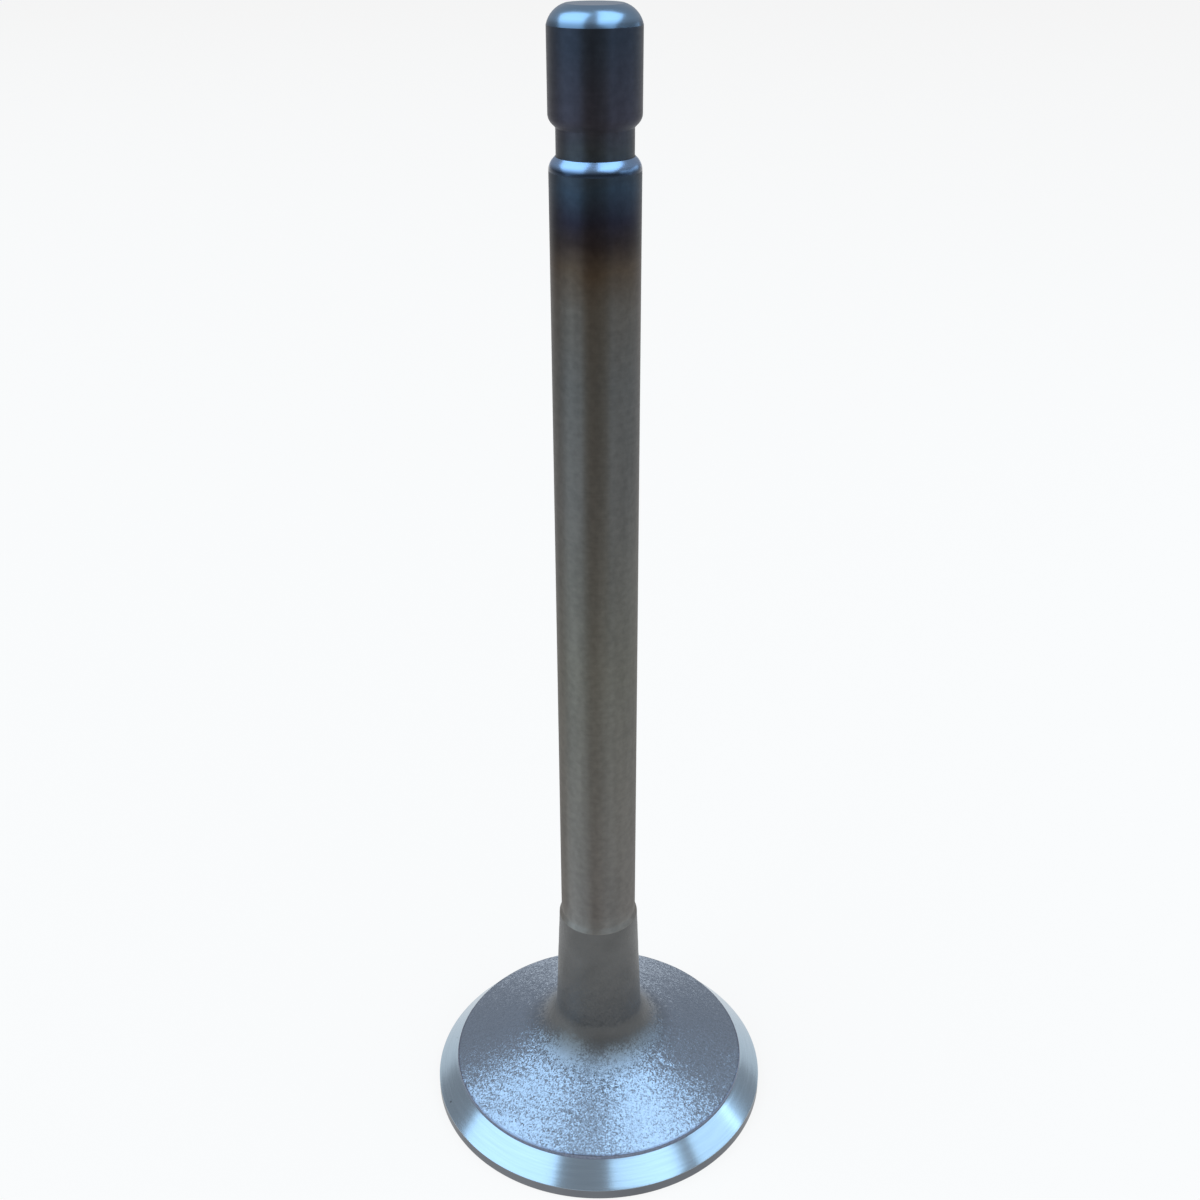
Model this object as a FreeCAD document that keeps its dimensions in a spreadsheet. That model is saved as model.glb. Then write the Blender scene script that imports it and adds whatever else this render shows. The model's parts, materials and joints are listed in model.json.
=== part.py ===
import FreeCAD, Part
import math
import os
import Sketcher

# Engine poppet valve, forged and turned from one piece of steel.
# Millimetres, +Z up along the stem. The origin is the centre of the flat
# combustion face, on which the valve stands with its tip up.

SIZES = [
    ("overall_length", 125.65, "combustion face to tip"),
    ("head_diameter", 40.2, "across the margin"),
    ("margin_height", 1.3, "straight rim below the seat"),
    ("face_break", 0.15, "broken edge round the combustion face"),
    ("seat_width", 2.4, "seat, measured along the radius"),
    ("seat_angle", 45.0, "degrees from the combustion face"),
    ("rim_height", 0.45, "unground step between seat and forged back"),
    ("rim_round", 0.2, "forged edge above that step"),
    ("back_angle", 21.0, "degrees, slope of the forged back"),
    ("neck_fillet", 5.0, "hollow where the back runs into the neck"),
    ("neck_taper", 2.3, "degrees, draft of the forged neck"),
    ("neck_stock", 0.25, "forging left proud of the ground stem"),
    ("neck_end_height", 25.6, "combustion face to the end of the forged neck"),
    ("grinding_runout", 0.6, "height of the step up to the ground stem"),
    ("stem_diameter", 8.7, "ground stem"),
    ("tip_length", 9.75, "keeper groove to tip"),
    ("groove_width", 3.9, "keeper groove, at the stem's surface"),
    ("groove_depth", 0.7, "keeper groove, below the stem's surface"),
    ("groove_angle", 45.0, "degrees, slope of the groove's two flanks"),
    ("groove_lip_round", 1.2, "upper edge of the groove"),
    ("groove_shoulder_round", 1.5, "lower edge of the groove"),
    ("crown_height", 1.75, "rounded part of the tip"),
    ("crown_width", 1.65, "rounded part of the tip, along the radius"),
    ("crown_radius", 2.4, "arc of the rounded part"),
]
CUTTER_CLEARANCE = 1.0
SAME_PLACE = 0.001
START = 1
END = 2
ORIGIN = (-1, START)

doc = FreeCAD.newDocument("engine_valve")


def fill_sheet():
    """The driving dimensions, one row each: value, then what it measures."""
    sheet = doc.addObject("Spreadsheet::Sheet", "Sizes")
    for row, (name, value, meaning) in enumerate(SIZES, start=1):
        sheet.set(f"A{row}", str(value))
        sheet.setAlias(f"A{row}", name)
        sheet.set(f"B{row}", meaning)
    doc.recompute()
    return sheet


def new_sketch(body, name):
    """A sketch through the valve's axis: x is the radius and y the height."""
    sketch = body.newObject("Sketcher::SketchObject", name)
    planes = body.Origin.OriginFeatures
    sketch.AttachmentSupport = [(next(p for p in planes if p.Role == "XZ_Plane"), "")]
    sketch.MapMode = "FlatFace"
    return sketch


def draw_outline(sketch, corners):
    """A closed outline of straight edges, one from each corner to the next."""
    ends = corners[1:] + corners[:1]
    for edge, (start, end) in enumerate(zip(corners, ends)):
        line = Part.LineSegment(FreeCAD.Vector(*start, 0), FreeCAD.Vector(*end, 0))
        sketch.addGeometry(line, False)
        if edge > 0:
            sketch.addConstraint(Sketcher.Constraint("Coincident", edge - 1, END, edge, START))
    sketch.addConstraint(Sketcher.Constraint("Coincident", len(corners) - 1, END, 0, START))


def dimension(sketch, kind, name, formula, *places):
    """A named dimension of the sketch that follows the sheet."""
    value = float(sketch.evalExpression(formula))
    if kind == "Angle":
        value = math.radians(value)
    index = sketch.addConstraint(Sketcher.Constraint(kind, *places, value))
    sketch.renameConstraint(index, name)
    sketch.setExpression(f"Constraints.{name}", formula)


def align(sketch, kind, *edges):
    """Horizontal or vertical edges."""
    for edge in edges:
        sketch.addConstraint(Sketcher.Constraint(kind, edge))


def turn(body, kind, name, sketch):
    """The sketch turned once round the stem's axis, as added or removed metal."""
    feature = body.newObject(f"PartDesign::{kind}", name)
    feature.Profile = sketch
    feature.ReferenceAxis = (sketch, ["V_Axis"])
    feature.Angle = 360.0
    doc.recompute()
    return feature


def ring_edge(feature, radius, height):
    """The name of the round edge that lies at this radius and height."""
    for number, edge in enumerate(feature.Shape.Edges, start=1):
        curve = edge.Curve
        if not isinstance(curve, Part.Circle):
            continue
        if abs(curve.Radius - radius) < SAME_PLACE and abs(curve.Center.z - height) < SAME_PLACE:
            return f"Edge{number}"
    raise ValueError(f"no edge of {feature.Name} at radius {radius} and height {height}")


def finish_edge(body, kind, name, base, place, size_name):
    """A fillet or chamfer of one named size on one round edge."""
    feature = body.newObject(f"PartDesign::{kind}", name)
    feature.Base = (base, [ring_edge(base, *place)])
    size_property = "Radius" if kind == "Fillet" else "Size"
    feature.setExpression(size_property, f"Sizes.{size_name}")
    doc.recompute()
    return feature


def forged_and_turned_blank(body, sizes):
    """The valve with sharp edges and no groove: head, neck and plain stem."""
    head_radius = sizes.head_diameter / 2
    stem_radius = sizes.stem_diameter / 2
    seat_top_radius = head_radius - sizes.seat_width
    neck_radius = stem_radius + sizes.neck_stock
    seat_top = sizes.margin_height + sizes.seat_width
    rim_top = seat_top + sizes.rim_height
    ground_start = sizes.neck_end_height + sizes.grinding_runout
    corners = [
        (0, 0),
        (head_radius, 0),
        (head_radius, sizes.margin_height),
        (seat_top_radius, seat_top),
        (seat_top_radius, rim_top),
        (neck_radius, sizes.neck_end_height / 2),
        (neck_radius, sizes.neck_end_height),
        (stem_radius, ground_start),
        (stem_radius, sizes.overall_length),
        (0, sizes.overall_length),
    ]
    face, margin, seat, rim, back, neck, runout, stem, tip, axis = range(len(corners))

    sketch = new_sketch(body, "ValveOutline")
    draw_outline(sketch, corners)
    sketch.addConstraint(Sketcher.Constraint("Coincident", face, START, *ORIGIN))
    align(sketch, "Horizontal", face, tip)
    align(sketch, "Vertical", margin, rim, stem, axis)
    dimension(sketch, "DistanceX", "head", "Sizes.head_diameter / 2", face, START, face, END)
    dimension(sketch, "DistanceY", "margin", "Sizes.margin_height", margin, START, margin, END)
    dimension(sketch, "DistanceX", "seat", "Sizes.seat_width", seat, END, seat, START)
    dimension(sketch, "Angle", "seat_slope", "180 - Sizes.seat_angle", seat)
    dimension(sketch, "DistanceY", "rim", "Sizes.rim_height", rim, START, rim, END)
    dimension(sketch, "DistanceX", "stem", "Sizes.stem_diameter / 2", tip, END, tip, START)
    dimension(sketch, "DistanceY", "length", "Sizes.overall_length", axis, END, axis, START)
    dimension(sketch, "DistanceX", "stock", "Sizes.neck_stock", runout, END, runout, START)
    dimension(sketch, "DistanceY", "neck_end", "Sizes.neck_end_height", *ORIGIN, neck, END)
    dimension(sketch, "DistanceY", "runout", "Sizes.grinding_runout", runout, START, runout, END)
    dimension(sketch, "Angle", "back_slope", "180 - Sizes.back_angle", back)
    dimension(sketch, "Angle", "neck_draft", "90 + Sizes.neck_taper", neck)
    blank = turn(body, "Revolution", "ForgedAndTurnedBlank", sketch)
    foot = sketch.Geometry[neck].StartPoint
    rim_edge = sketch.Geometry[rim].EndPoint
    return blank, (foot.x, foot.y), (rim_edge.x, rim_edge.y)


def keeper_groove(body, sizes):
    """The groove for the two keepers, turned into the stem below the tip."""
    stem_radius = sizes.stem_diameter / 2
    floor_radius = stem_radius - sizes.groove_depth
    cutter_radius = stem_radius + CUTTER_CLEARANCE
    top = sizes.overall_length - sizes.tip_length
    bottom = top - sizes.groove_width
    corners = [
        (cutter_radius, bottom),
        (cutter_radius, top),
        (stem_radius, top),
        (floor_radius, top - sizes.groove_depth),
        (floor_radius, bottom + sizes.groove_depth),
        (stem_radius, bottom),
    ]
    outside, above, upper_flank, floor, lower_flank, below = range(len(corners))

    sketch = new_sketch(body, "GrooveOutline")
    draw_outline(sketch, corners)
    align(sketch, "Horizontal", above, below)
    align(sketch, "Vertical", outside, floor)
    dimension(sketch, "DistanceX", "stem", "Sizes.stem_diameter / 2", *ORIGIN, below, START)
    dimension(sketch, "DistanceY", "groove_top", "Sizes.overall_length - Sizes.tip_length", *ORIGIN, above, END)
    dimension(sketch, "DistanceY", "width", "Sizes.groove_width", outside, START, outside, END)
    dimension(sketch, "DistanceX", "lower_depth", "Sizes.groove_depth", lower_flank, START, lower_flank, END)
    dimension(sketch, "DistanceX", "upper_depth", "Sizes.groove_depth", upper_flank, END, upper_flank, START)
    dimension(sketch, "Angle", "upper_slope", "Sizes.groove_angle - 180", upper_flank)
    dimension(sketch, "Angle", "lower_slope", "-Sizes.groove_angle", lower_flank)
    dimension(sketch, "DistanceX", "clearance", str(CUTTER_CLEARANCE), below, START, below, END)
    return turn(body, "Groove", "KeeperGroove", sketch), (stem_radius, top), (stem_radius, bottom)


def rounded_tip(body, sizes):
    """The rounded edge of the tip, ground round a small flat end."""
    stem_radius = sizes.stem_diameter / 2
    cutter_radius = stem_radius + CUTTER_CLEARANCE
    top = sizes.overall_length
    cutter_top = top + CUTTER_CLEARANCE
    crown_start = (stem_radius, top - sizes.crown_height)
    crown_end = (stem_radius - sizes.crown_width, top)
    corners = [
        crown_end,
        (crown_end[0], cutter_top),
        (cutter_radius, cutter_top),
        (cutter_radius, crown_start[1]),
        crown_start,
    ]
    above_end, above, outside, below, chord = range(len(corners))

    sketch = new_sketch(body, "TipOutline")
    draw_outline(sketch, corners)
    sketch.toggleConstruction(chord)
    arc = sketch.addGeometry(crown_arc(crown_start, crown_end, sizes.crown_radius), False)
    sketch.addConstraint(Sketcher.Constraint("Coincident", arc, START, chord, START))
    sketch.addConstraint(Sketcher.Constraint("Coincident", arc, END, chord, END))
    align(sketch, "Vertical", above_end, outside)
    align(sketch, "Horizontal", above, below)
    dimension(sketch, "DistanceX", "stem", "Sizes.stem_diameter / 2", *ORIGIN, chord, START)
    dimension(sketch, "DistanceY", "tip", "Sizes.overall_length", *ORIGIN, chord, END)
    dimension(sketch, "DistanceY", "crown_height", "Sizes.crown_height", chord, START, chord, END)
    dimension(sketch, "DistanceX", "crown_width", "Sizes.crown_width", chord, END, chord, START)
    dimension(sketch, "Radius", "crown_radius", "Sizes.crown_radius", arc)
    dimension(sketch, "DistanceX", "side_clearance", str(CUTTER_CLEARANCE), below, END, below, START)
    dimension(sketch, "DistanceY", "end_clearance", str(CUTTER_CLEARANCE), above_end, START, above_end, END)
    return turn(body, "Groove", "RoundedTip", sketch)


def crown_arc(start, end, radius):
    """The arc that bulges outwards from start, on the stem, to end, on the end face."""
    start = FreeCAD.Vector(*start, 0)
    end = FreeCAD.Vector(*end, 0)
    chord = end - start
    middle = (start + end) / 2
    inwards = FreeCAD.Vector(-chord.y, chord.x, 0).normalize()
    centre = middle + inwards * math.sqrt(radius ** 2 - (chord.Length / 2) ** 2)
    circle = Part.Circle(centre, FreeCAD.Vector(0, 0, 1), radius)
    return Part.ArcOfCircle(circle, circle.parameter(start), circle.parameter(end))


def make_valve(sizes):
    """The whole valve as one body, in the order in which a real one is made."""
    body = doc.addObject("PartDesign::Body", "Valve")
    body.Label = "valve"
    blank, neck_foot, rim_edge = forged_and_turned_blank(body, sizes)
    groove, lip, shoulder = keeper_groove(body, sizes)
    tip = rounded_tip(body, sizes)
    for before, after in ((blank, groove), (groove, tip)):
        if after.Shape.Volume >= before.Shape.Volume:
            raise ValueError(f"{after.Name} removes no metal")

    neck = finish_edge(body, "Fillet", "NeckFillet", tip, neck_foot, "neck_fillet")
    rim = finish_edge(body, "Fillet", "RimRound", neck, rim_edge, "rim_round")
    lip = finish_edge(body, "Fillet", "GrooveLipRound", rim, lip, "groove_lip_round")
    shoulder = finish_edge(body, "Fillet", "GrooveShoulderRound", lip, shoulder, "groove_shoulder_round")
    face_edge = (sizes.head_diameter / 2, 0)
    body.Tip = finish_edge(body, "Chamfer", "FaceEdgeBreak", shoulder, face_edge, "face_break")
    doc.recompute()
    return body


def check_document():
    """Stops if any step of the model failed."""
    for item in doc.Objects:
        if "Invalid" in item.State or "Error" in item.State:
            raise ValueError(f"{item.Name} failed: {item.State}")


def write_part(body):
    """One file for the piece, named by its label."""
    shape = body.Shape
    if shape.isNull() or not shape.isValid() or len(shape.Solids) != 1:
        raise ValueError(f"{body.Label} is not one valid solid")
    os.makedirs("parts", exist_ok=True)
    shape.exportStep(f"parts/{body.Label}.step")
    box = shape.optimalBoundingBox()
    print(f"{body.Label}: {box.XLength:.2f} x {box.YLength:.2f} x {box.ZLength:.2f} mm,",
          f"{shape.Volume / 1000:.3f} cubic centimetres")


valve = make_valve(fill_sheet())
check_document()
write_part(valve)
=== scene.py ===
# %% [markdown]
# # An engine poppet valve
# A poppet valve opens and closes a port in an engine's cylinder head. This one is a single piece of
# steel: a bar whose end was upset and forged into a head, and which was then turned, hardened at the
# tip and ground. The solid model gives its size and place. This lesson rebuilds its skin with the
# marks of each of those steps: forged grain, grinding lines, turning rings and temper colours.

# %% Load the solid model
import bpy
import json
import math
from mathutils import Matrix, Quaternion, Vector, noise


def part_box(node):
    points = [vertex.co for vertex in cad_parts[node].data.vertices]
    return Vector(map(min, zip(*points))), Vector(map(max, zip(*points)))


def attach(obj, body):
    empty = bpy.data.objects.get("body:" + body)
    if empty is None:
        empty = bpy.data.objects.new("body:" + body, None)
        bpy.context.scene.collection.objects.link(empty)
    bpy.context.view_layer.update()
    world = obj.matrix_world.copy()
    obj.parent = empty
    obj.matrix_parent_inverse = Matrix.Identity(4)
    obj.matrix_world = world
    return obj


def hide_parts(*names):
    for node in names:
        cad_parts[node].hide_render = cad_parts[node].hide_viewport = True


MM = 0.001
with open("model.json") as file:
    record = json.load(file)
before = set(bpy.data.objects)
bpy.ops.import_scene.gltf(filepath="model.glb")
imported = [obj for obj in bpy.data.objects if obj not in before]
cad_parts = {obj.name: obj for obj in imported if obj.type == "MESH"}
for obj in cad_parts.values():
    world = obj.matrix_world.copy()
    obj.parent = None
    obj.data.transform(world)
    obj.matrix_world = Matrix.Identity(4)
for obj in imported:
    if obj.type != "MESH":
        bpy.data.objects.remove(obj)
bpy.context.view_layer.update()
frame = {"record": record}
node_low, node_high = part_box("valve")
mounts = {mount["name"]: mount for mount in frame["record"]["mounts"]}
scene = bpy.context.scene

# %% [markdown]
# ## The sizes
# A valve is round, so its whole form is one outline turned about the stem. The overall sizes come from
# the solid model: the head's radius and the length from its box, the ground stem from the mount that a
# guide would slide on. The small sizes, such as the seat's width, are the ones a drawing would give.

# %% The sizes in millimetres
HEAD_RADIUS = min(-node_low[0], -node_low[1], node_high[0], node_high[1]) / MM
LENGTH = node_high[2] / MM
STEM_RADIUS = mounts["stem"]["dims"]["r_mm"]
STEM_MIDDLE = mounts["stem"]["pos_m"][2] / MM
STEM_LENGTH = mounts["stem"]["dims"]["length_mm"]
GROUND_START = STEM_MIDDLE - STEM_LENGTH / 2

MARGIN_HEIGHT = 1.3
SEAT_WIDTH = 2.4
RIM_HEIGHT = 0.45
BACK_ANGLE = math.radians(21)
NECK_TAPER = math.radians(2.3)
NECK_STOCK = 0.25
NECK_FILLET = 5.0
GRINDING_RUNOUT = 0.6
TIP_LENGTH = 9.75
GROOVE_WIDTH = 3.9
GROOVE_DEPTH = 0.7
CROWN_HEIGHT = 1.75
CROWN_WIDTH = 1.65
CROWN_RADIUS = 2.4

SEAT_RADIUS = HEAD_RADIUS - SEAT_WIDTH
SEAT_TOP = MARGIN_HEIGHT + SEAT_WIDTH
RIM_TOP = SEAT_TOP + RIM_HEIGHT
NECK_RADIUS = STEM_RADIUS + NECK_STOCK
NECK_END = GROUND_START - GRINDING_RUNOUT
GROOVE_TOP = LENGTH - TIP_LENGTH
GROOVE_BOTTOM = GROOVE_TOP - GROOVE_WIDTH
GROOVE_RADIUS = STEM_RADIUS - GROOVE_DEPTH
CROWN_START = LENGTH - CROWN_HEIGHT
print(f"head {2 * HEAD_RADIUS:.2f} mm, stem {2 * STEM_RADIUS:.2f} mm, length {LENGTH:.2f} mm")

# %% [markdown]
# ## The zones
# Each stretch of the outline belongs to a zone with its own finish. The face and margin were turned,
# the seat was ground on a 45 degree wheel, the back and neck are still as forged, the stem was ground
# between centres, and the bevels at the groove and the tip were polished. A zone also says how far
# apart its rows of points lie: close together where the surface is rough, so that the unevenness is
# real, and wide apart on a straight ground wall.

# %% Zones and their rows
TURNED, SEAT, FORGED, STEM, BEVEL = range(5)
ROW_STEP = {TURNED: 2.0, SEAT: 0.4, FORGED: 0.24, STEM: 5.0, BEVEL: 0.5}
ARC_STEP = math.radians(8)
SEGMENTS = 384
print(f"points round the head's edge: every {math.tau * HEAD_RADIUS / SEGMENTS:.2f} mm")

# %% [markdown]
# ## Round corners
# The outline could be a curve with a screw modifier, or one spun in edit mode. Here it is a list of
# corners, each with the radius that its tool left: a forging die rounds generously, a grinding wheel
# leaves a crisp edge with only a breath of a break. A rounded corner becomes an arc tangent to both
# of its edges, the same construction that a draughtsman would use.

# %% Arcs and rounded corners
FEWEST_STEPS = 2


def arc_points(centre, radius, start, end, zone):
    """Points along an arc of the outline, from one angle to another."""
    sweep = end - start
    by_angle = math.ceil(abs(sweep) / ARC_STEP)
    by_length = math.ceil(abs(sweep) * radius / ROW_STEP[zone])
    steps = max(FEWEST_STEPS, by_angle, by_length)
    angles = [start + sweep * step / steps for step in range(steps + 1)]
    return [(centre.x + radius * math.cos(a), centre.y + radius * math.sin(a), zone) for a in angles]


def rounded_corner(before, corner, after, radius, zone):
    """The arc of this radius that is tangent to both edges of a corner."""
    to_before = (before - corner).normalized()
    to_after = (after - corner).normalized()
    half_turn = to_before.angle(to_after) / 2
    bisector = (to_before + to_after).normalized()
    centre = corner + bisector * radius / math.sin(half_turn)
    touch = radius / math.tan(half_turn)
    start = corner + to_before * touch - centre
    end = corner + to_after * touch - centre
    start_angle = math.atan2(start.y, start.x)
    sweep = math.remainder(math.atan2(end.y, end.x) - start_angle, math.tau)
    return arc_points(centre, radius, start_angle, start_angle + sweep, zone)


square_corner = [Vector(place) for place in ((0, 0), (9, 0), (9, 9))]
print("a 1 mm round on a square corner:", len(rounded_corner(*square_corner, 1, BEVEL)), "points")

# %% [markdown]
# ## The outline
# The list runs up the outside, from the combustion face to the tip: radius, height, the radius of the
# corner, and the zone that starts there. Two corners are worked out instead of measured: the foot
# of the neck is where the sloping back would meet the tapered neck, and the crown is one arc.

# %% The corners of the outline
FACE_BREAK = 0.15
SEAT_EDGE = 0.07
RIM_ROUND = 0.2
RUNOUT_ROUND = 0.5
SHOULDER_ROUND = 1.5
GROOVE_ROOT = 0.2
LIP_ROUND = 1.2


def neck_foot():
    """Where the straight back of the head would meet the straight neck, without the fillet."""
    rise = math.tan(BACK_ANGLE)
    draft = math.tan(NECK_TAPER)
    height = RIM_TOP + (SEAT_RADIUS - NECK_RADIUS - NECK_END * draft) * rise
    height /= 1 - draft * rise
    return NECK_RADIUS + (NECK_END - height) * draft, height


CORNERS = [
    (0, 0, 0, TURNED),
    (HEAD_RADIUS, 0, FACE_BREAK, TURNED),
    (HEAD_RADIUS, MARGIN_HEIGHT, SEAT_EDGE, SEAT),
    (SEAT_RADIUS, SEAT_TOP, SEAT_EDGE, FORGED),
    (SEAT_RADIUS, RIM_TOP, RIM_ROUND, FORGED),
    (*neck_foot(), NECK_FILLET, FORGED),
    (NECK_RADIUS, NECK_END, RUNOUT_ROUND, STEM),
    (STEM_RADIUS, GROUND_START, RUNOUT_ROUND, STEM),
    (STEM_RADIUS, GROOVE_BOTTOM, SHOULDER_ROUND, BEVEL),
    (GROOVE_RADIUS, GROOVE_BOTTOM + GROOVE_DEPTH, GROOVE_ROOT, STEM),
    (GROOVE_RADIUS, GROOVE_TOP - GROOVE_DEPTH, GROOVE_ROOT, STEM),
    (STEM_RADIUS, GROOVE_TOP, LIP_ROUND, STEM),
    (STEM_RADIUS, CROWN_START, 0, STEM),
]
print("corners:", len(CORNERS), "with the neck's foot at", [round(size, 2) for size in neck_foot()], "mm")

# %% The whole outline


def crown():
    """The rounded edge of the tip: an arc from the side of the stem to the small flat end."""
    start = Vector((STEM_RADIUS, CROWN_START))
    end = Vector((STEM_RADIUS - CROWN_WIDTH, LENGTH))
    chord = end - start
    inwards = Vector((-chord.y, chord.x)).normalized()
    centre = (start + end) / 2 + inwards * math.sqrt(CROWN_RADIUS ** 2 - (chord.length / 2) ** 2)
    first, last = start - centre, end - centre
    return arc_points(centre, CROWN_RADIUS, math.atan2(first.y, first.x), math.atan2(last.y, last.x), BEVEL)


def outline():
    """The whole outline as (radius, height, zone), from the face's centre to the tip's."""
    points = [(0, 0, TURNED)]
    for before, corner, after in zip(CORNERS, CORNERS[1:], CORNERS[2:]):
        places = [Vector(place[:2]) for place in (before, corner, after)]
        points += rounded_corner(*places, *corner[2:])
    return points + crown() + [(0, LENGTH, BEVEL)]


valve_outline = outline()
print("outline:", len(valve_outline), "points, highest", round(max(p[1] for p in valve_outline), 2), "mm")

# %% [markdown]
# ## Rows along the outline
# Straight stretches get rows of points in between, as far apart as their zone asks.

# %% Rows of points


def rows_along(points):
    """The outline with rows added, each row as (radius, height, zone)."""
    made = [points[0]]
    for (radius, height, zone), (end_radius, end_height, end_zone) in zip(points, points[1:]):
        length = math.dist((radius, height), (end_radius, end_height))
        steps = max(1, math.ceil(length / ROW_STEP[zone]))
        for step in range(1, steps + 1):
            share = step / steps
            row_radius = radius + (end_radius - radius) * share
            row_height = height + (end_height - height) * share
            made.append((row_radius, row_height, end_zone if step == steps else zone))
    return made


rows = rows_along(valve_outline)
forged_heights = [height for radius, height, zone in rows if zone == FORGED]
forged_low, forged_high = min(forged_heights), max(forged_heights)
print("rows:", len(rows), "of which forged:", len(forged_heights))

# %% [markdown]
# ## The forged skin
# A hot forging is never quite even: the die leaves shallow dents a few millimetres across, and the
# blasting that cleans it leaves a skin like orange peel, with pebbles of half a millimetre. Both
# could be a displacement modifier with a texture. Moving the points in code keeps the amounts in
# millimetres, and the unevenness can fade out where a wheel has cut the forging away. The pebbles
# are higher round the foot of the neck, where the shot bounces about in the hollow. The finer grain
# is smaller than a face of the mesh and is left to the material.

# %% Unevenness of the forging
PEBBLE_SIZE = 0.5
PEBBLE_HEIGHT = 0.015
DENT_SIZE = 3.2
DENT_HEIGHT = 0.02
FADE = 0.6

# The hollow round the neck, as distances from the axis, and how much its pebbles gain at its peak.
HOLLOW_FROM, HOLLOW_PEAK, HOLLOW_TO = 5.0, 7.5, 11.5
HOLLOW_GAIN = 1.0


def forged_offset(place):
    """How far the forged skin lies above or below the ideal surface here, in millimetres."""
    pebbles = noise.noise(place / PEBBLE_SIZE)
    dents = noise.noise(place / DENT_SIZE)
    out = place.xy.length
    rising = (out - HOLLOW_FROM) / (HOLLOW_PEAK - HOLLOW_FROM)
    falling = (HOLLOW_TO - out) / (HOLLOW_TO - HOLLOW_PEAK)
    gain = 1 + HOLLOW_GAIN * max(0.0, min(rising, falling))
    return PEBBLE_HEIGHT * gain * pebbles + DENT_HEIGHT * dents


def forged_strength(height, zone):
    """How much of the unevenness is there: all of it, but none at the ends of the forged stretch."""
    if zone != FORGED:
        return 0.0
    from_end = min(height - forged_low, forged_high - height)
    return max(0.0, min(1.0, from_end / FADE))


sample = Vector((HOLLOW_PEAK, 0, RIM_TOP))
print(f"in the hollow the skin lies {forged_offset(sample):+.3f} mm from the ideal surface")

# %% [markdown]
# ## The mesh
# The rows are turned about the stem into one closed skin, with one point at each end. Every ring of
# faces takes the finish of its zone, through the number of its material.

# %% The valve's mesh


def ring_places(index):
    """The points of one ring in metres, moved along the surface normal by the unevenness."""
    radius, height, zone = rows[index]
    before, after = rows[index - 1], rows[index + 1]
    slope = Vector((after[1] - before[1], before[0] - after[0])).normalized()
    strength = forged_strength(height, zone)
    places = []
    for segment in range(SEGMENTS):
        angle = math.tau * segment / SEGMENTS
        around = Vector((math.cos(angle), math.sin(angle), 0))
        place = around * radius + Vector((0, 0, height))
        if strength > 0:
            normal = around * slope.x + Vector((0, 0, slope.y))
            place += normal * forged_offset(place) * strength
        places.append(place * MM)
    return places


def ring_faces(last, top):
    """The faces and their zones: a fan at each end, and a ring of four-sided faces between two rows."""
    faces, zones = [], []
    for segment in range(SEGMENTS):
        following = (segment + 1) % SEGMENTS
        faces.append((0, 1 + following, 1 + segment))
        zones.append(TURNED)
        faces.append((last + segment, last + following, top))
        zones.append(BEVEL)
        for ring in range(len(rows) - 3):
            low = 1 + ring * SEGMENTS
            high = low + SEGMENTS
            faces.append((low + segment, low + following, high + following, high + segment))
            zones.append(rows[ring + 1][2])
    return faces, zones


def valve_mesh():
    """One closed mesh: a ring of points for each row, and one point at each end."""
    places = [Vector((0, 0, rows[0][1] * MM))]
    for index in range(1, len(rows) - 1):
        places += ring_places(index)
    places.append(Vector((0, 0, rows[-1][1] * MM)))
    top = len(places) - 1
    faces, zones = ring_faces(top - SEGMENTS, top)

    mesh = bpy.data.meshes.new("valve_skin")
    mesh.from_pydata(places, [], faces)
    mesh.polygons.foreach_set("material_index", zones)
    mesh.polygons.foreach_set("use_smooth", [True] * len(faces))
    mesh.validate()
    return mesh


valve = bpy.data.objects.new("valve_skin", valve_mesh())
scene.collection.objects.link(valve)
triangles = sum(len(face.vertices) - 2 for face in valve.data.polygons)
print("valve skin:", len(valve.data.vertices), "points,", triangles, "triangles")

# %% [markdown]
# Smooth shading would blur the crisp corners that a wheel leaves, so edges with a real bend are
# marked sharp. The arcs of rounded corners bend a few degrees at a time and stay smooth.

# %% Crisp edges
SHARP_ANGLE = math.radians(14)
valve.data.set_sharp_from_angle(angle=SHARP_ANGLE)
print("sharp edges:", sum(edge.use_edge_sharp for edge in valve.data.edges))

# %% [markdown]
# ## Colours and nodes
# Colours are written as they look on a screen, in hex, and one function turns them to the linear
# values that a renderer works in. One more function adds a node with its settings and links.

# %% Helpers for the materials


def linear(hex_colour):
    """A screen colour such as 8899aa as linear red, green, blue and alpha."""
    channels = [int(hex_colour[start:start + 2], 16) / 255 for start in (0, 2, 4)]
    curve = [c / 12.92 if c <= 0.04045 else ((c + 0.055) / 1.055) ** 2.4 for c in channels]
    return (*curve, 1.0)


def add(tree, kind, inputs=None, stops=(), **settings):
    """One node; inputs gives each socket a value or another node's output, stops fill a colour ramp."""
    made = tree.nodes.new("ShaderNode" + kind)
    for name, value in settings.items():
        setattr(made, name, value)
    for socket, value in (inputs or {}).items():
        if isinstance(value, bpy.types.NodeSocket):
            tree.links.new(value, made.inputs[socket])
        else:
            made.inputs[socket].default_value = value
    if stops:
        elements = made.color_ramp.elements
        for position, colour in stops[2:]:
            elements.new(position)
        for element, (position, colour) in zip(elements, stops):
            element.position = position
            element.color = linear(colour)
    return made


def new_material(name):
    """An empty node material and its tree."""
    material = bpy.data.materials.new(name)
    material.use_nodes = True
    material.node_tree.nodes.clear()
    return material, material.node_tree


print("mid grey, 808080, is", round(linear("808080")[0], 3), "in linear values")

# %% [markdown]
# ## Where on the valve
# Every pattern is laid out in millimetres on the valve itself: along its height, or by the distance
# from its axis. The finishes are kept by zone, until the skin is dressed with them.

# %% Places in millimetres
OFF_AXIS = (1, 1, 0)
finishes = {}


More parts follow.
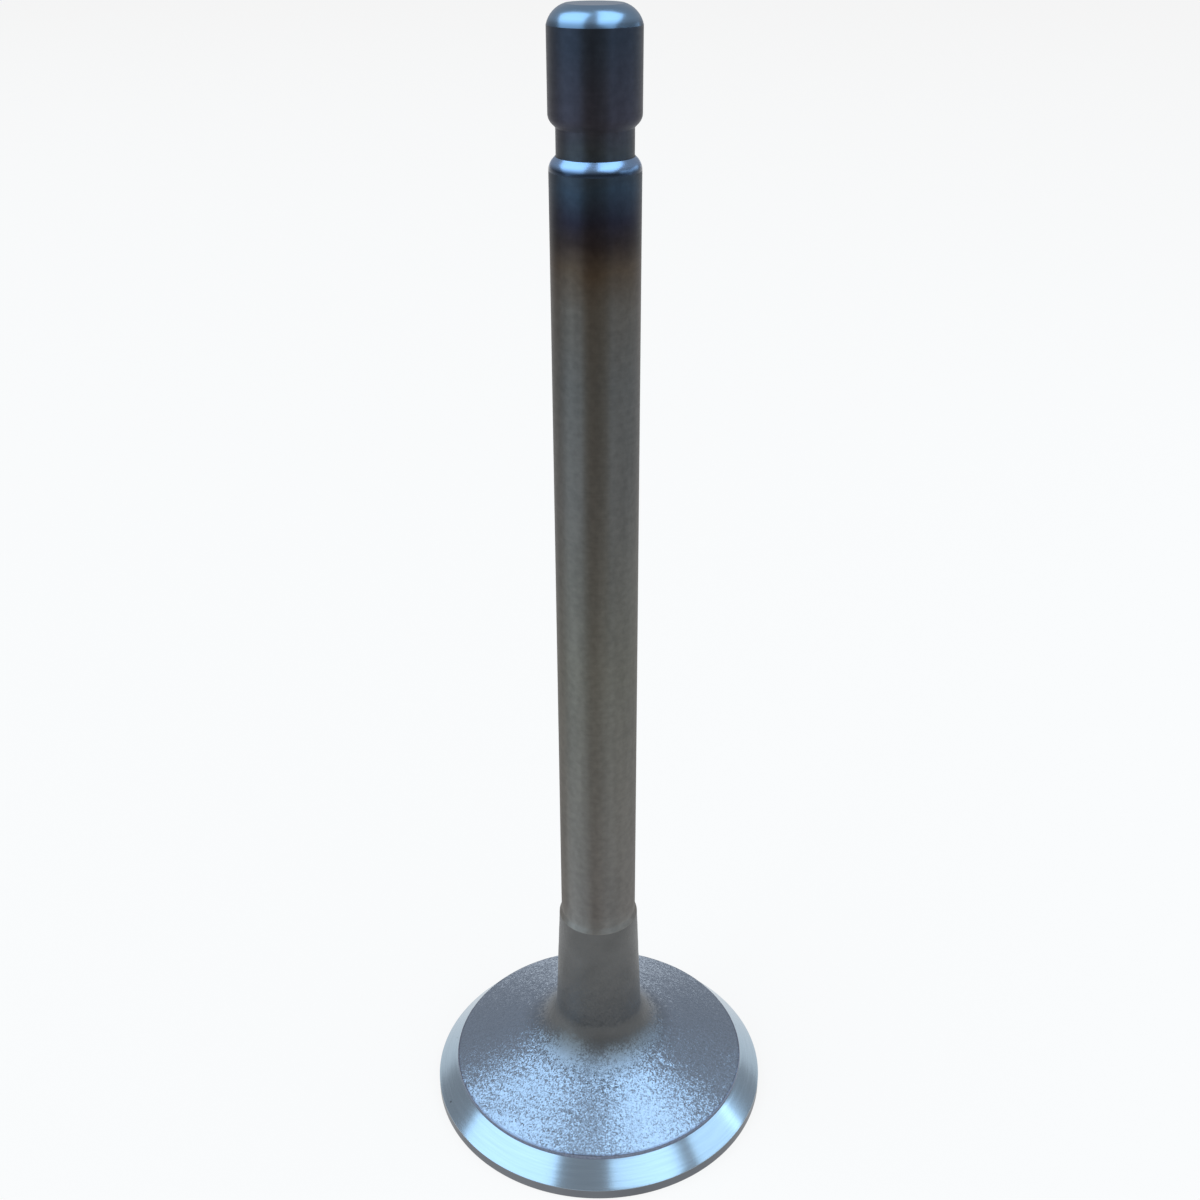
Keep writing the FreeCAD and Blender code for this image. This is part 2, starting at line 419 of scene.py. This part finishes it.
def place_in_mm(tree):
    """The place on the valve in millimetres."""
    coordinates = add(tree, "TexCoord").outputs["Object"]
    return add(tree, "VectorMath", {0: coordinates, "Scale": 1 / MM}, operation="SCALE").outputs[0]


def height_up(tree, in_mm):
    """The height above the combustion face in millimetres."""
    return add(tree, "SeparateXYZ", {0: in_mm}).outputs["Z"]


def distance_out(tree, in_mm):
    """The distance from the valve's axis in millimetres."""
    flat = add(tree, "VectorMath", {0: in_mm, 1: OFF_AXIS}, operation="MULTIPLY")
    return add(tree, "VectorMath", {0: flat.outputs[0]}, operation="LENGTH").outputs["Value"]


def keep_finish(zone, material):
    """Keep the material of a zone, and say how large it came out."""
    finishes[zone] = material
    print(f"{material.name}: {len(material.node_tree.nodes)} nodes")


# %% [markdown]
# ## As-forged steel
# The back of the head and the neck are valve steel as it left the die, shot-blasted clean of scale.
# Blasting leaves a satin metal that glitters: each shot leaves a tiny facet with a tilt of its own,
# so one dot shines and the next stays dark, on a skin that is gently pebbled. The facets are about a
# seventh of a millimetre wide, just large enough to be seen. The shot dents the back right up to the
# fillet, most of all in the hollow there, but only grazes the wall of the neck, where the skin stays
# dull and even. The neck's wall is painted a darker grey: painted shade, standing in for the dark
# reflection that it shows. The low step beside the seat is painted darker too, as painted shade.
# Steel is a metal, so it has no colour of its own under the shine; its reflection is tinted a cool
# grey.

# %% Colour of the forging
PEBBLE = 0.3
SHADE_PATCH = 4.0
# Where the neck's wall ends: its dull finish and its painted shade stop at this distance from the axis.
NECK_WALL_TO = 5.4
CLEAN_FROM = 10.2
# Painted shade on the step beside the seat: between these distances from the axis its colour turns to the
# dark step colour below.
STEP_SHADE_FROM = SEAT_RADIUS - 0.3
STEP_SHADE_FULL = SEAT_RADIUS - 0.08
CLEAN_SKIN = [(0.3, "98a7b8"), (0.6, "a2b1c4")]
# Painted shade: darker greys on the neck's wall, standing in for the dark reflection there.
NECK_PAINTED_SHADE = [(0.3, "60605f"), (0.7, "6b6b6a")]
STEP_PAINTED_SHADE = "7a8294"


def forged_colour(tree, in_mm, out, pebbles):
    """Clean cool grey on the back, and painted shade: a darker grey on the neck and on the step by the
    seat.
    """
    patches = add(tree, "TexNoise", {"Vector": in_mm, "Scale": 1 / SHADE_PATCH, "Detail": 3.0})
    # Painted shade: the neck's darker greys, in patches.
    neck_shade = add(tree, "ValToRGB", {"Fac": patches.outputs["Fac"]}, stops=NECK_PAINTED_SHADE)
    clean = add(tree, "ValToRGB", {"Fac": pebbles}, stops=CLEAN_SKIN)
    # Where the painted shade of the neck gives way to the clean back.
    blasted = add(tree, "MapRange", {"Value": out, "From Min": NECK_WALL_TO, "From Max": CLEAN_FROM},
                  interpolation_type="SMOOTHSTEP")
    skin = add(tree, "Mix", {"Factor": blasted.outputs["Result"], "A": neck_shade.outputs["Color"],
                             "B": clean.outputs["Color"]}, data_type="RGBA")
    # Painted shade on the step beside the seat.
    step = add(tree, "MapRange", {"Value": out, "From Min": STEP_SHADE_FROM, "From Max": STEP_SHADE_FULL})
    colour = add(tree, "Mix", {"Factor": step.outputs["Result"], "A": skin.outputs["Result"],
                               "B": linear(STEP_PAINTED_SHADE)}, data_type="RGBA")
    return colour.outputs["Result"]


# The scale printed here is painted shade: the darker grey on the neck's wall ends at this distance.
print(f"scale ends {NECK_WALL_TO} mm from the axis, clean metal starts at {CLEAN_FROM} mm")

# %% Dents of the shot
FACET = 0.15
FACET_TILT = 0.165
PEBBLE_DEPTH = 0.010
GRAZED = 0.35
DENTED_FROM = 6.8
HOLLOW_GLITTER = 1.8
MIDDLE = (0.5, 0.5, 0.5)


def struck_normal(tree, in_mm, out, pebbles):
    """The surface's normal, tilted facet by facet by the shot and then pebbled."""
    depth = add(tree, "MapRange", {"Value": out, "From Min": NECK_WALL_TO, "From Max": DENTED_FROM,
                                   "To Min": GRAZED, "To Max": 1.0}).outputs["Result"]
    hollow = add(tree, "MapRange", {"Value": out, "From Min": HOLLOW_PEAK, "From Max": HOLLOW_TO,
                                    "To Min": HOLLOW_GLITTER, "To Max": 1.0}).outputs["Result"]
    cells = add(tree, "TexVoronoi", {"Vector": in_mm, "Scale": 1 / FACET})
    centred = add(tree, "VectorMath", {0: cells.outputs["Color"], 1: MIDDLE}, operation="SUBTRACT")
    dented = add(tree, "Math", {0: depth, 1: hollow}, operation="MULTIPLY")
    tilt = add(tree, "Math", {0: dented.outputs[0], 1: FACET_TILT}, operation="MULTIPLY")
    tilted = add(tree, "VectorMath", {0: centred.outputs[0], "Scale": tilt.outputs[0]}, operation="SCALE")
    smooth = add(tree, "NewGeometry").outputs["Normal"]
    facets = add(tree, "VectorMath", {0: smooth, 1: tilted.outputs[0]}, operation="ADD")
    facets = add(tree, "VectorMath", {0: facets.outputs[0]}, operation="NORMALIZE")
    raised = add(tree, "Math", {0: hollow, 1: PEBBLE_DEPTH * MM}, operation="MULTIPLY")
    skin = add(tree, "Bump", {"Strength": depth, "Distance": raised.outputs[0], "Height": pebbles,
                              "Normal": facets.outputs[0]})
    return skin.outputs["Normal"]


print(f"facets of {FACET} mm, tilted up to {HOLLOW_GLITTER} times as much in the hollow")

# %% Forged steel
DULL, SATIN = 0.45, 0.24
SATIN_FROM = 9.6


def forged_steel():
    """Shot-blasted forging: satin, pebbled and glittering on the back, dull with painted shade on the neck.
    """
    material, tree = new_material("shot_blasted_forged_steel")
    in_mm = place_in_mm(tree)
    out = distance_out(tree, in_mm)
    pebbles = add(tree, "TexNoise", {"Vector": in_mm, "Scale": 1 / PEBBLE, "Detail": 1.0}).outputs["Fac"]
    rough = add(tree, "MapRange", {"Value": out, "From Min": NECK_WALL_TO, "From Max": SATIN_FROM,
                                   "To Min": DULL, "To Max": SATIN})
    steel = add(tree, "BsdfPrincipled", {"Base Color": forged_colour(tree, in_mm, out, pebbles),
                                         "Metallic": 1.0, "Roughness": rough.outputs["Result"],
                                         "Normal": struck_normal(tree, in_mm, out, pebbles)})
    add(tree, "OutputMaterial", {"Surface": steel.outputs["BSDF"]})
    return material


keep_finish(FORGED, forged_steel())

# %% [markdown]
# ## Marks of a wheel
# The seat and the stem were ground. A wheel leaves fine lines round the part, each a few hundredths of
# a millimetre wide, far thinner than a pixel. They are drawn five to ten times as wide, and faintly,
# so that they can just be seen. Noise that is squashed along the height and drawn out round the axis
# makes such lines. The same pattern, squashed along the radius, makes the rings of a turning tool.
# The lines smear a reflection across them more than along them. The shader's anisotropy does that: its
# tangent runs round the stem, and ACROSS turns the smear a quarter turn from it.

# %% Lines round the valve
LINE_LENGTH = 6.0
LINE_DEPTH = 0.002
ACROSS = 0.25


def marks_round(tree, in_mm, across, spacing):
    """Noise that is fine across the marks and long round the valve."""
    drawn_out = tuple(axis / LINE_LENGTH for axis in OFF_AXIS)
    flat = add(tree, "VectorMath", {0: in_mm, 1: drawn_out}, operation="MULTIPLY")
    fine = add(tree, "Math", {0: across, 1: 1 / spacing}, operation="MULTIPLY")
    stacked = add(tree, "CombineXYZ", {"Z": fine.outputs[0]})
    place = add(tree, "VectorMath", {0: flat.outputs[0], 1: stacked.outputs[0]}, operation="ADD")
    return add(tree, "TexNoise", {"Vector": place.outputs[0], "Scale": 1.0, "Detail": 2.0}).outputs["Fac"]


def ground_metal(tree, colour, lines, relief, roughness, smear):
    """Metal ground round the stem: the lines dent it, and smear its reflection across them."""
    tangent = add(tree, "Tangent", direction_type="RADIAL", axis="Z")
    bump = add(tree, "Bump", {"Strength": relief, "Distance": LINE_DEPTH * MM, "Height": lines})
    steel = add(tree, "BsdfPrincipled", {"Base Color": colour, "Metallic": 1.0, "Roughness": roughness,
                                         "Anisotropic": smear, "Anisotropic Rotation": ACROSS,
                                         "Tangent": tangent.outputs["Tangent"],
                                         "Normal": bump.outputs["Normal"]})
    add(tree, "OutputMaterial", {"Surface": steel.outputs["BSDF"]})


print(f"lines of {LINE_LENGTH} mm, {LINE_DEPTH} mm deep")

# %% [markdown]
# ## The ground seat
# The seat is the sealing face and the brightest part: clean steel from a fine wheel, close to a satin
# mirror. A few pin-prick pits are left from the forging.

# %% Pits of the seat
PIT_SPACING = 1.5
PIT_RADIUS = 0.07
PIT_RIM, PIT_FLOOR = 1.6 * PIT_RADIUS, 0.6 * PIT_RADIUS
NO_PIT_SHARE = 0.78


def pits(tree, in_mm):
    """One in the pits, which only some cells have, and nought on the metal between them."""
    cells = add(tree, "TexVoronoi", {"Vector": in_mm, "Scale": 1 / PIT_SPACING})
    near = add(tree, "MapRange", {"Value": cells.outputs["Distance"], "From Min": PIT_RIM,
                                  "From Max": PIT_FLOOR})
    draw = add(tree, "SeparateColor", {0: cells.outputs["Color"]})
    chosen = add(tree, "Math", {0: draw.outputs["Red"], 1: NO_PIT_SHARE}, operation="GREATER_THAN")
    pit = add(tree, "Math", {0: near.outputs["Result"], 1: chosen.outputs[0]}, operation="MULTIPLY")
    return pit.outputs[0]


print(f"pits {2 * PIT_RADIUS:.2f} mm across, in {1 - NO_PIT_SHARE:.0%} of the cells")

# %% Seat steel
SEAT_LINES = 0.18
SEAT_GREYS = [(0.3, "a2b5c4"), (0.7, "aabdcc")]
PIT_GREY = "59656d"
SEAT_RELIEF = 0.3
SEAT_ROUGHNESS = 0.19
SEAT_SMEAR = 0.5


def ground_seat():
    """The sealing face: bright ground steel with faint lines round it and a few pits."""
    material, tree = new_material("ground_seat_steel")
    in_mm = place_in_mm(tree)
    lines = marks_round(tree, in_mm, height_up(tree, in_mm), SEAT_LINES)
    ground = add(tree, "ValToRGB", {"Fac": lines}, stops=SEAT_GREYS)
    colour = add(tree, "Mix", {"Factor": pits(tree, in_mm), "A": ground.outputs["Color"],
                               "B": linear(PIT_GREY)}, data_type="RGBA")
    ground_metal(tree, colour.outputs["Result"], lines, SEAT_RELIEF, SEAT_ROUGHNESS, SEAT_SMEAR)
    return material


keep_finish(SEAT, ground_seat())

# %% [markdown]
# ## The stem and its temper colours
# The tip takes the blows of the rocker, so it was heated and quenched. Heat grows an oxide film whose
# thickness sets its colour: blue-black at the tip, then a trace of purple and straw brown where it was
# cooler, and a dull grey further down. A ramp along the height holds those colours, and a slow noise
# lets their borders wander. A narrow, darker and browner stripe is painted up the side of the stem
# that faces the camera: a painted reflection of the dark surroundings in front of it.

# %% Temper colours
TEMPER = [
    # bare grey, duller towards the heat
    (25.6, "86827c"), (28.0, "7a746e"), (60.0, "747067"), (80.0, "686561"), (92.0, "62605d"),
    # straw, brown and a trace of purple
    (99.0, "625d57"), (103.0, "574b40"), (105.5, "362f2f"), (107.5, "2c2c38"),
    # blue, then blue-black up to the tip
    (110.0, "364351"), (113.5, "42474c"), (116.0, "42414b"), (123.0, "353c48"),
]
WANDER_SIZE = 5.0
WANDER = 1.6


def temper_colour(tree, in_mm, height):
    """The oxide's colour by height, with borders that wander a little."""
    wander = add(tree, "TexNoise", {"Vector": in_mm, "Scale": 1 / WANDER_SIZE, "Detail": 2.0})
    shift = add(tree, "MapRange", {"Value": wander.outputs["Fac"], "To Min": -WANDER, "To Max": WANDER})
    uneven = add(tree, "Math", {0: height, 1: shift.outputs["Result"]}, operation="ADD")
    share = add(tree, "MapRange", {"Value": uneven.outputs[0], "From Min": NECK_END, "From Max": LENGTH})
    stops = [((place - NECK_END) / (LENGTH - NECK_END), colour) for place, colour in TEMPER]
    return add(tree, "ValToRGB", {"Fac": share.outputs["Result"]}, stops=stops).outputs["Color"]


print("temper colours:", len(TEMPER), "from", TEMPER[0][0], "to", TEMPER[-1][0], "mm up")

# %% The painted dark reflection on the stem's front
# Painted reflection: a darker, browner stripe up the stem's side that faces the camera, standing in for the
# dark surroundings it reflects.
CAMERA_FACING_SIDE = (0, -1, 0)
REFLECTION_EDGE = math.cos(math.radians(22))
REFLECTION_CORE = math.cos(math.radians(4))
REFLECTION_FOOT, REFLECTION_FULL = 45.0, 92.0
REFLECTION_DARKENING = (0.74, 0.69, 0.62)


def painted_dark_reflection(tree, in_mm, height, oxide):
    """The oxide colour, browner and darker in a stripe up the side that faces the camera: a painted
    reflection.
    """
    flat = add(tree, "VectorMath", {0: in_mm, 1: OFF_AXIS}, operation="MULTIPLY")
    around = add(tree, "VectorMath", {0: flat.outputs[0]}, operation="NORMALIZE")
    towards = add(tree, "VectorMath", {0: around.outputs[0], 1: CAMERA_FACING_SIDE}, operation="DOT_PRODUCT")
    across = add(tree, "MapRange", {"Value": towards.outputs["Value"], "From Min": REFLECTION_EDGE,
                                    "From Max": REFLECTION_CORE}, interpolation_type="SMOOTHSTEP")
    upwards = add(tree, "MapRange", {"Value": height, "From Min": REFLECTION_FOOT, "From Max": REFLECTION_FULL},
                  interpolation_type="SMOOTHSTEP")
    share = add(tree, "Math", {0: across.outputs["Result"], 1: upwards.outputs["Result"]},
                operation="MULTIPLY")
    with_dark_reflection = add(tree, "VectorMath", {0: oxide, 1: REFLECTION_DARKENING}, operation="MULTIPLY")
    mixed = add(tree, "Mix", {"Factor": share.outputs[0], "A": oxide, "B": with_dark_reflection.outputs[0]},
                data_type="RGBA")
    return mixed.outputs["Result"]


# The stain printed here is the painted dark reflection.
print(f"the stain starts {REFLECTION_FOOT} mm up and is full at {REFLECTION_FULL} mm")

# %% Stem steel
MOTTLE = 0.7
STREAK_WIDTH = 1.6
STREAK_LENGTH = 22.0
MOTTLE_LOW, MOTTLE_HIGH = 0.7, 1.3
DARKEST, LIGHTEST = 0.87, 1.13
STEM_LINES = 0.16
STEM_RELIEF = 0.4
STEM_SMOOTH, STEM_ROUGH = 0.48, 0.58
STEM_SMEAR = 0.9


def handling_shade(tree, in_mm):
    """Faint mottling, and streaks along the stem, as a factor on its colour."""
    mottle = add(tree, "TexNoise", {"Vector": in_mm, "Scale": 1 / MOTTLE, "Detail": 2.0})
    drawn = (1 / STREAK_WIDTH, 1 / STREAK_WIDTH, 1 / STREAK_LENGTH)
    along = add(tree, "VectorMath", {0: in_mm, 1: drawn}, operation="MULTIPLY")
    streaks = add(tree, "TexNoise", {"Vector": along.outputs[0], "Scale": 1.0, "Detail": 2.0})
    both = add(tree, "Math", {0: mottle.outputs["Fac"], 1: streaks.outputs["Fac"]}, operation="ADD")
    shade = add(tree, "MapRange", {"Value": both.outputs[0], "From Min": MOTTLE_LOW,
                                   "From Max": MOTTLE_HIGH, "To Min": DARKEST, "To Max": LIGHTEST})
    return shade.outputs["Result"]


def stem_steel():
    """Ground stem with the oxide colours of its hardened tip."""
    material, tree = new_material("ground_stem_steel")
    in_mm = place_in_mm(tree)
    height = height_up(tree, in_mm)
    # The oxide colour with the painted dark reflection down its front.
    with_dark_reflection = painted_dark_reflection(tree, in_mm, height, temper_colour(tree, in_mm, height))
    colour = add(tree, "VectorMath", {0: with_dark_reflection, "Scale": handling_shade(tree, in_mm)}, operation="SCALE")
    lines = marks_round(tree, in_mm, height, STEM_LINES)
    rough = add(tree, "MapRange", {"Value": lines, "To Min": STEM_SMOOTH, "To Max": STEM_ROUGH})
    ground_metal(tree, colour.outputs[0], lines, STEM_RELIEF, rough.outputs["Result"], STEM_SMEAR)
    return material


keep_finish(STEM, stem_steel())

# %% [markdown]
# ## Polished bevels
# The rounded end of the tip and the shoulder under the groove were polished on a soft wheel after the
# quench. They show the lamps as two clear spots, and a trace of the blue oxide still tints them, more
# on the shoulder than on the tip, where the rocker wears it off. Where a bevel turns to face sideways,
# into the side of the stem, it is painted dark: painted shade by the way it faces, and the part that
# faces up is painted light.

# %% Bevel steel
# How far the surface faces upwards where the painted shade is full, and where the bright painted light is
# full.
FULL_SHADE_UP = 0.16
NO_SHADE_UP = 0.56
WORN_BLUES = [(0.0, "8fadd2"), (1.0, "8eacc8")]
# The painted shade on the sideways-facing part of a bevel.
BEVEL_SIDE_SHADE = "2f3a49"
BEVEL_ROUGHNESS = 0.24


def bevel_steel():
    """The crown of the tip and the groove's shoulder: polished, with a trace of blue, and painted shade
    where they face sideways.
    """
    material, tree = new_material("polished_bevel_steel")
    height = height_up(tree, place_in_mm(tree))
    worn = add(tree, "MapRange", {"Value": height, "From Min": GROOVE_TOP, "From Max": CROWN_START})
    bright = add(tree, "ValToRGB", {"Fac": worn.outputs["Result"]}, stops=WORN_BLUES)
    # Painted light and shade: faces that point up take the bright colour, faces that point sideways the
    # dark one.
    upwards = add(tree, "SeparateXYZ", {0: add(tree, "TexCoord").outputs["Normal"]}).outputs["Z"]
    facing_up_light = add(tree, "MapRange", {"Value": upwards, "From Min": FULL_SHADE_UP, "From Max": NO_SHADE_UP},
                 interpolation_type="SMOOTHSTEP")
    colour = add(tree, "Mix", {"Factor": facing_up_light.outputs["Result"], "A": linear(BEVEL_SIDE_SHADE),
                               "B": bright.outputs["Color"]}, data_type="RGBA")
    steel = add(tree, "BsdfPrincipled", {"Base Color": colour.outputs["Result"], "Metallic": 1.0,
                                         "Roughness": BEVEL_ROUGHNESS})
    add(tree, "OutputMaterial", {"Surface": steel.outputs["BSDF"]})
    return material


keep_finish(BEVEL, bevel_steel())

# %% [markdown]
# ## Turned steel
# The combustion face and the margin came off a lathe and were left so. The tool's feed, a quarter of a
# millimetre a turn, leaves shallow rings, which catch the light as a fan of fine circles on the face.

# %% Turned face and margin
FEED = 0.25
RING_DEPTH = 0.006
RING_RELIEF = 0.8
TURNED_GREYS = [(0.3, "676a6f"), (0.7, "75787d")]
TURNED_ROUGHNESS = 0.4


def turned_steel():
    """The face and margin: turned on a lathe, with rings from the tool's feed."""
    material, tree = new_material("turned_face_steel")
    in_mm = place_in_mm(tree)
    rings = marks_round(tree, in_mm, distance_out(tree, in_mm), FEED)
    colour = add(tree, "ValToRGB", {"Fac": rings}, stops=TURNED_GREYS)
    bump = add(tree, "Bump", {"Strength": RING_RELIEF, "Distance": RING_DEPTH * MM, "Height": rings})
    steel = add(tree, "BsdfPrincipled", {"Base Color": colour.outputs["Color"], "Metallic": 1.0,
                                         "Roughness": TURNED_ROUGHNESS,
                                         "Normal": bump.outputs["Normal"]})
    add(tree, "OutputMaterial", {"Surface": steel.outputs["BSDF"]})
    return material


keep_finish(TURNED, turned_steel())

# %% [markdown]
# ## Dressing the valve
# The materials go on in the order of the zones' numbers. The skin then stands for the solid valve, and
# rides on the only body that it has.

# %% Dress the valve
for zone in sorted(finishes):
    valve.data.materials.append(finishes[zone])
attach(valve, "root")
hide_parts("valve")
print("finishes:", [material.name for material in valve.data.materials])

# %% [markdown]
# ## The camera
# The view is from close by and above, 136 mm in front of the stem and just above its tip, so the head
# looks smaller than it is and the stem widens upwards. A camera that looks down through such a short
# distance gives the picture its strong perspective; a long lens from afar would not.

# %% Camera
LENS = 43.1
SENSOR = 36.0
NEAREST = 10.0
CAMERA_PLACE = Vector((0, -136.3, 135.7)) * MM
LEVEL_VIEW = math.radians(90)
PITCH_DOWN = math.radians(26.79)
TURN_RIGHT = math.radians(0.132)
ROLL = math.radians(-0.17)
camera = bpy.data.objects.new("camera", bpy.data.cameras.new("camera"))
scene.collection.objects.link(camera)
camera.data.lens = LENS
camera.data.sensor_width = SENSOR
camera.data.clip_start = NEAREST * MM
camera.location = CAMERA_PLACE
aim = Quaternion((0, 0, 1), -TURN_RIGHT) @ Quaternion((1, 0, 0), LEVEL_VIEW - PITCH_DOWN)
camera.rotation_mode = "QUATERNION"
camera.rotation_quaternion = aim @ Quaternion((0, 0, 1), ROLL)
scene.camera = camera
print("camera stands", round(CAMERA_PLACE.length, 3), "m from the foot of the valve")

# %% [markdown]
# ## The floor
# A plain pale sheet, as in a product photograph. Most of what the camera and the metal see of it is an
# even white glow, and the rest is a matt surface that takes the valve's soft shadow.

# %% Floor
FLOOR_RADIUS = 6.0
FLOOR_SIDES = 64
FLOOR_GAP = 0.02
turns = [math.tau * side / FLOOR_SIDES for side in range(FLOOR_SIDES)]
floor_edge = [(FLOOR_RADIUS * math.cos(turn), FLOOR_RADIUS * math.sin(turn), 0) for turn in turns]
floor_mesh = bpy.data.meshes.new("floor")
floor_mesh.from_pydata(floor_edge, [], [tuple(range(FLOOR_SIDES))])
floor = bpy.data.objects.new("floor", floor_mesh)
floor.location.z = -FLOOR_GAP * MM
scene.collection.objects.link(floor)
print("floor:", 2 * FLOOR_RADIUS, "m across")

# %% Pale card
CARD = "ebe5de"
GLOW_SHARE = 0.85
WHITE = (1, 1, 1, 1)


def pale_floor():
    """Matt pale card that glows evenly for the camera and in reflections, and keeps the shadow."""
    material, tree = new_material("pale_card_floor")
    matt = add(tree, "BsdfDiffuse", {"Color": linear(CARD)})
    glow = add(tree, "Emission", {"Color": WHITE, "Strength": 1.0})
    rays = add(tree, "LightPath").outputs
    seen = add(tree, "Math", {0: rays["Is Camera Ray"], 1: rays["Is Glossy Ray"]}, operation="MAXIMUM")
    seen = add(tree, "Math", {0: seen.outputs[0], 1: rays["Is Transmission Ray"]}, operation="MAXIMUM")
    share = add(tree, "Math", {0: seen.outputs[0], 1: GLOW_SHARE}, operation="MULTIPLY")
    mixed = add(tree, "MixShader", {0: share.outputs[0], 1: matt.outputs[0], 2: glow.outputs[0]})
    add(tree, "OutputMaterial", {"Surface": mixed.outputs[0]})
    return material


floor_mesh.materials.append(pale_floor())
print("floor material:", floor_mesh.materials[0].name)

# %% [markdown]
# ## The light
# Polished metal shows its surroundings, so the lamps are placed for what they look like in it. Two long
# softboxes stand left and right of the camera and lean over the valve, with a dark gap between them:
# they give the two bright lobes on the forged back, the bright arcs of the seat with the dark band in
# the middle, and the pair of spots on the tip. Two small panels stand close on the right: one lights
# that side of the seat, and the one behind it draws a cool line along the stem's edge. The world adds
# an even grey, and with it a plain card renders about as light as it is.

# %% Softboxes
LAMP_COLOUR = (0.72, 1.0, 1.24)
FAR, NEAR = 1.5, 0.4

# Name, direction from the valve, direction in which its height runs, half its width and half its
# height as angles in degrees, radiance, and distance in metres.
SOFTBOXES = [
    ("left_softbox", (-0.708, -0.244, 0.664), (0.637, -0.661, 0.397), 36, 29, 1.48, FAR),
    ("right_softbox", (0.423, -0.305, 0.853), (0.905, 0.187, -0.381), 31.5, 20, 1.56, FAR),
    ("side_panel", (0.900, -0.110, 0.423), (0.28, 0.89, -0.36), 8, 17, 1.30, NEAR),
    ("rear_panel", (0.856, 0.346, 0.384), (-0.375, 0.927, 0), 8, 18, 0.95, NEAR),
]


def softbox(name, direction, edge, half_width, half_height, radiance, distance):
    """A rectangular light that faces the valve and fills the given angles in its reflections."""
    direction = Vector(direction).normalized()
    side = direction.cross(Vector(edge)).normalized()
    long_way = direction.cross(side)
    data = bpy.data.lights.new(name, "AREA")
    data.shape = "RECTANGLE"
    data.size = 2 * distance * math.tan(math.radians(half_width))
    data.size_y = 2 * distance * math.tan(math.radians(half_height))
    data.color = LAMP_COLOUR
    data.energy = radiance * math.pi * data.size * data.size_y
    lamp = bpy.data.objects.new(name, data)
    scene.collection.objects.link(lamp)
    lamp.location = direction * distance
    lamp.rotation_mode = "QUATERNION"
    lamp.rotation_quaternion = Matrix((side, long_way, direction)).transposed().to_quaternion()
    return lamp


for values in SOFTBOXES:
    light = softbox(*values).data
    print(f"{light.name}: {light.size:.2f} by {light.size_y:.2f} m, {light.energy:.2f} W")

# %% [markdown]
# ## Surroundings and last settings
# The world stays plain and even. The Standard view shows colours as they were written.

# %% World and view
WORLD_GREY = (0.38, 0.38, 0.395, 1)
world = bpy.data.worlds.new("studio")
scene.world = world
world.use_nodes = True
world.node_tree.nodes["Background"].inputs["Color"].default_value = WORLD_GREY
scene.view_settings.view_transform = "Standard"
print("world:", world.name, "with the", scene.view_settings.view_transform, "view")
